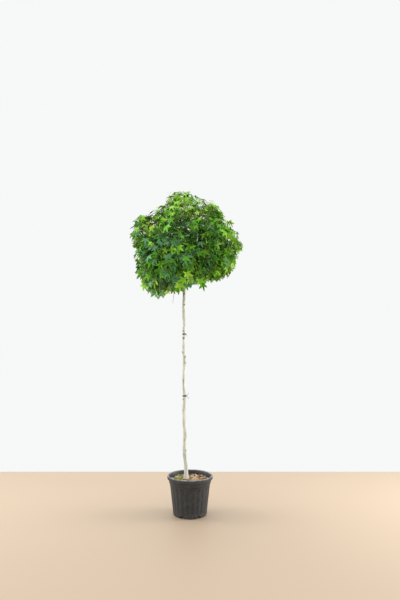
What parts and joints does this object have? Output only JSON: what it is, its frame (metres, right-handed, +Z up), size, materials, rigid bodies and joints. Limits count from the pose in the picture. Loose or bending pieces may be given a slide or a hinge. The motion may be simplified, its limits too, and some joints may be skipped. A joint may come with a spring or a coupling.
{
  "type": "potted standard sweetgum tree",
  "caption": "Round-headed sweetgum grown as a standard: a dense ball of star-shaped leaves on a slim clear stem, in a round plastic nursery pot.",
  "frame": {"origin": "centre of the pot's flat underside, on the ground", "axes": "+Z up the stem, -Y towards the front of the plant, +X to the viewer's right"},
  "size_m": [0.9137, 0.8449, 2.5428],
  "materials": {
    "pot_plastic": "black, lightly scuffed",
    "bark_compost": "rough bark chips over compost",
    "bark": "pale grey-green young bark, matte",
    "tie_plastic": "dark soft tie, matte",
    "leaf": "fresh green leaf, slight sheen"
  },
  "bodies": {
    "root": {"pot": "pot_plastic", "growing_medium": "bark_compost", "trunk": "bark", "tie_upper": "tie_plastic", "tie_lower": "tie_plastic", "bough_1": "bark", "bough_2": "bark", "bough_3": "bark", "bough_4": "bark", "bough_5": "bark", "bough_6": "bark", "bough_7": "bark", "bough_8": "bark", "bough_9": "bark", "bough_10": "bark", "foliage_1": "leaf", "foliage_2": "leaf", "foliage_3": "leaf", "foliage_4": "leaf", "foliage_5": "leaf", "foliage_6": "leaf", "foliage_7": "leaf", "foliage_8": "leaf", "foliage_9": "leaf", "foliage_10": "leaf"}
  },
  "joints": []
}
